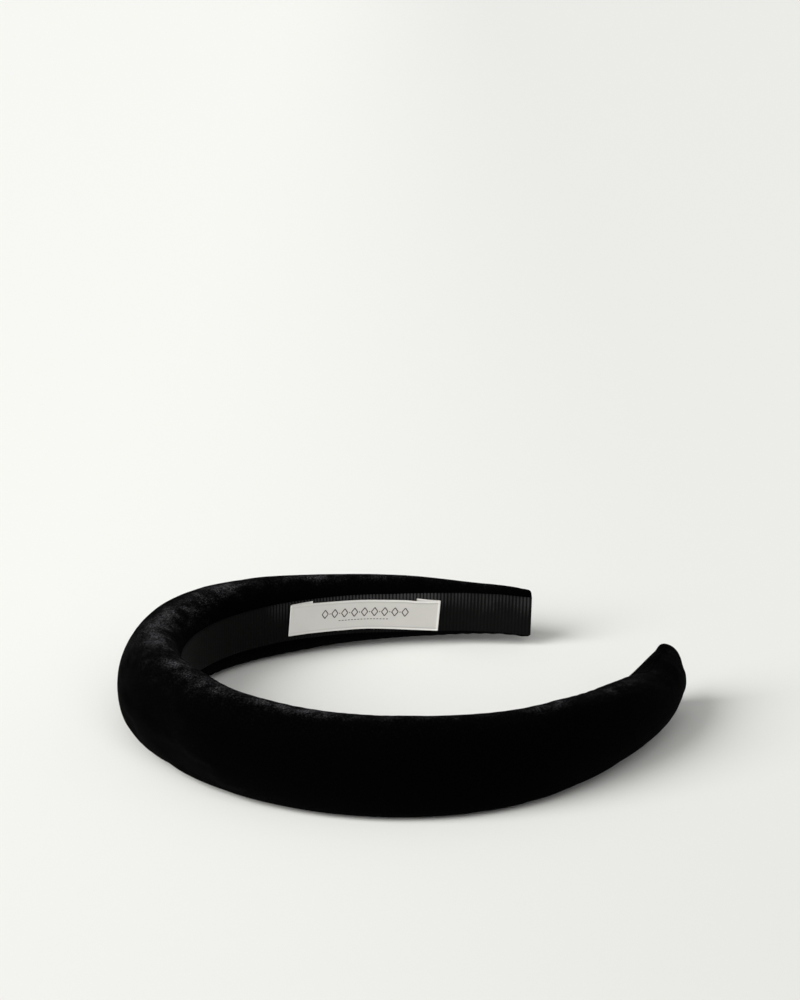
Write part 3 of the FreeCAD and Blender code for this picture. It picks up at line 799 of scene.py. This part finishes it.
def make_motif():
    """A generic woven row: open lozenges with a fine broken line below."""
    verts, faces = [], []

    def quad(pts, lift=0.012):
        # pts: (s, z) corners; a thin raised patch on the label's face
        base = len(verts)
        for dq in (0.0, lift):
            for s, z in pts:
                u = (s - LABEL_S0) / (LABEL_S1 - LABEL_S0)
                belly = 0.13 * math.sin(math.pi * u) ** 0.6 * float(step_up(u, 0.12, 0.3) * (1 - step_up(u, 0.72, 0.9)))
                lo, hi = label_z(s)
                verts.append(place(s + SKEW * (z - (lo + hi) / 2), -0.50 + belly - 0.07 - dq + 0.006, z))
        n = len(pts)
        faces.append(tuple(base + n + k for k in range(n)))
        faces.append(tuple(base + k for k in reversed(range(n))))
        for k in range(n):
            faces.append((base + k, base + (k + 1) % n, base + n + (k + 1) % n, base + n + k))

    def bar(s0, z0, s1, z1, w):
        d = math.hypot(s1 - s0, z1 - z0)
        nx, nz = -(z1 - z0) / d * w / 2, (s1 - s0) / d * w / 2
        quad([(s0 + nx, z0 + nz), (s0 - nx, z0 - nz), (s1 - nx, z1 - nz), (s1 + nx, z1 + nz)])

    def base_z(s):
        lo, hi = label_z(s)
        return lo + 0.59 * (hi - lo)
    n, first, last = 9, 112.1, 138.7
    for k in range(n):
        c = first + (last - first) * k / (n - 1)
        z = base_z(c)
        hw, hh, w = 1.05, 1.38, 0.34
        corners = [(c - hw, z), (c, z + hh), (c + hw, z), (c, z - hh)]
        for a in range(4):
            bar(*corners[a], *corners[(a + 1) % 4], w)
        if k < n - 1:
            m = c + (last - first) / (n - 1) / 2
            zz = base_z(m)
            quad([(m - 0.24, zz), (m, zz - 0.28), (m + 0.24, zz), (m, zz + 0.28)])
    s = 116.9
    while s < 133.7:
        lo, hi = label_z(s)
        z = lo + 0.34 * (hi - lo)
        bar(s, z, s + 0.66, z - 0.018, 0.24)
        s += 1.05
    return mesh_object("label_motif", verts, faces, smooth_shade=False)


# =====================================================================================
# Foam
# =====================================================================================
def make_foam():
    pitch, nj = 2.2, 48
    end = ARM - 1.7
    n = int(end / pitch)
    S = np.linspace(-end, end, 2 * n + 1)
    P = []
    for s in S:
        line = section(s, 1.0, 3.0, None)
        line = np.concatenate([line, np.stack([np.full(9, 3.0), np.linspace(line[-1, 1], line[0, 1], 11)[1:-1]], -1)])
        loop = even(np.concatenate([line, line[:1]]), nj + 1)[:-1]
        P.append(place(s, loop[:, 0], loop[:, 1]))
    P = np.array(P)
    mm = P * 1000
    N = np.cross(np.gradient(P, axis=0), np.roll(P, -1, 1) - np.roll(P, 1, 1))
    N = N / np.maximum(np.linalg.norm(N, axis=-1, keepdims=True), 1e-12)
    P = P - N * (0.00009 * (1 + fractal(mm, 6.0, 3, seed=83)))[..., None]
    m = len(S)
    faces = grid_faces(m, nj, 0, close_j=True)
    faces.append(tuple(range(nj - 1, -1, -1)))
    faces.append(tuple((m - 1) * nj + j for j in range(nj)))
    return mesh_object("foam_core_pad", P.reshape(-1, 3), faces)


velvet = make_velvet()
velvet.data.materials.append(velvet_material())
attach(velvet, "root")
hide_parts("velvet_cover")

foam = make_foam()
foam.data.materials.append(foam_material())
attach(foam, "root")
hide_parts("foam_pad")

ribbon = make_ribbon()
ribbon.data.materials.append(grosgrain_material())
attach(ribbon, "root")
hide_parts("lining_ribbon")

label, label_flat = make_label()
label.data.materials.append(label_material())
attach(label, "root")
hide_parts("woven_label")

motif = make_motif()
motif.data.materials.append(motif_material())
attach(motif, "root")

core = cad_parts["core_band"]
core.data.materials.clear()
core.data.materials.append(plastic_material())

# the cut sizes: the cover is a long strip, widest over the crown
flat_w = max(float(np.linalg.norm(np.diff(section(s), axis=0), axis=1).sum()) for s in np.linspace(0, ARM, 40)) / 1000
for s in np.linspace(0, ARM, 200):
    line = section(s)
    P3 = place(np.array([s, s + 0.01])[:, None], line[None, :, 0], line[None, :, 1])

# =====================================================================================
# Floor, light, camera
# =====================================================================================
scene = bpy.context.scene
fl = bpy.data.meshes.new("floor")
S_ = 6.0
fl.from_pydata([(-S_, -S_, 0), (S_, -S_, 0), (S_, S_, 0), (-S_, S_, 0)], [], [(0, 1, 2, 3)])
floor = bpy.data.objects.new("floor", fl)
scene.collection.objects.link(floor)
# the view's own directions, level with the floor
PHI = math.radians(33.4982)
RIGHT = Vector((math.cos(-PHI), math.sin(-PHI), 0))
AWAY = Vector((-math.sin(-PHI), math.cos(-PHI), 0))
UPV = Vector((0, 0, 1))

# pale sweep with painted light falloff: a shade darker towards the right and towards the front
fm, fnt, fb = material("floor_paper_painted_falloff")
geo = node(fnt, "ShaderNodeTexCoord")


def falloff(direction, near, far, at_near, at_far):
    dot = node(fnt, "ShaderNodeVectorMath", operation="DOT_PRODUCT")
    dot.inputs[1].default_value = direction
    fnt.links.new(geo.outputs["Object"], dot.inputs[0])
    mr = node(fnt, "ShaderNodeMapRange", interpolation_type="SMOOTHSTEP")
    for k, v in (("From Min", near), ("From Max", far), ("To Min", at_near), ("To Max", at_far)):
        mr.inputs[k].default_value = v
    fnt.links.new(dot.outputs["Value"], mr.inputs["Value"])
    return mr.outputs["Result"]


shade = node(fnt, "ShaderNodeMath", operation="MULTIPLY")
fnt.links.new(falloff(RIGHT, -0.13, 0.13, 0.880, 0.785), shade.inputs[0])
fnt.links.new(falloff(AWAY, -0.20, 0.12, 0.955, 1.0), shade.inputs[1])
tone = node(fnt, "ShaderNodeVectorMath", operation="SCALE")
tone.inputs[0].default_value = (1.0, 1.003, 0.962)
fnt.links.new(shade.outputs[0], tone.inputs["Scale"])
fnt.links.new(tone.outputs[0], fb.inputs["Base Color"])
fb.inputs["Roughness"].default_value = 0.9
fb.inputs["Specular IOR Level"].default_value = 0.1
floor.data.materials.append(fm)

world = bpy.data.worlds.new("studio")
scene.world = world
world.use_nodes = True
bg = world.node_tree.nodes["Background"]
bg.inputs["Color"].default_value = (1.0, 1.0, 1.0, 1)
bg.inputs["Strength"].default_value = 0.235


def soft_sun(name, energy, angle, direction):
    d = bpy.data.lights.new(name, "SUN")
    d.energy = energy
    d.angle = math.radians(angle)
    o = bpy.data.objects.new(name, d)
    o.rotation_euler = (-direction).to_track_quat("-Z", "Y").to_euler()
    scene.collection.objects.link(o)
    return d


# one broad key from the front left, and a soft fill from the front
sun = soft_sun("key", 3.42, 42, RIGHT * -0.71 + AWAY * -0.47 + UPV * 0.53)
fill = soft_sun("fill", 1.42, 60, RIGHT * 0.05 + AWAY * -0.80 + UPV * 0.60)

cam_data = bpy.data.cameras.new("camera")
cam_data.sensor_width = 36.0
cam_data.sensor_fit = "AUTO"
cam_data.lens = 2644.931 / 1000 * 36.0
cam_data.shift_x = 0.0003
cam_data.shift_y = -0.001
cam_data.clip_start = 0.01
cam_data.clip_end = 50
cam = bpy.data.objects.new("camera", cam_data)
D_, E_, PT, YW, RL = 0.781475, math.radians(20.0541), math.radians(16.0977), math.radians(0.3248), math.radians(0.1753)
C_ = Vector((0, -D_ * math.cos(E_), D_ * math.sin(E_))) - Vector((0.0007225, 0.000799, 0))
fwd = Vector((math.sin(YW) * math.cos(PT), math.cos(YW) * math.cos(PT), -math.sin(PT)))
rgt = Vector((math.cos(YW), -math.sin(YW), 0))
upv = rgt.cross(fwd)
rgt, upv = rgt * math.cos(RL) + upv * math.sin(RL), upv * math.cos(RL) - rgt * math.sin(RL)
turn = Matrix.Rotation(-PHI, 3, "Z")
centre = Vector((60 * math.cos(TILT) - SHIFT, 0, -60 * math.sin(TILT) + LIFT)) / 1000
cam.location = turn @ C_ + centre
rot = Matrix((turn @ rgt, turn @ upv, -(turn @ fwd))).transposed()
cam.rotation_euler = rot.to_euler()
scene.collection.objects.link(cam)
scene.camera = cam

scene.view_settings.view_transform = "Standard"
scene.view_settings.look = "None"
scene.view_settings.exposure = 0.0
scene.view_settings.gamma = 1.0
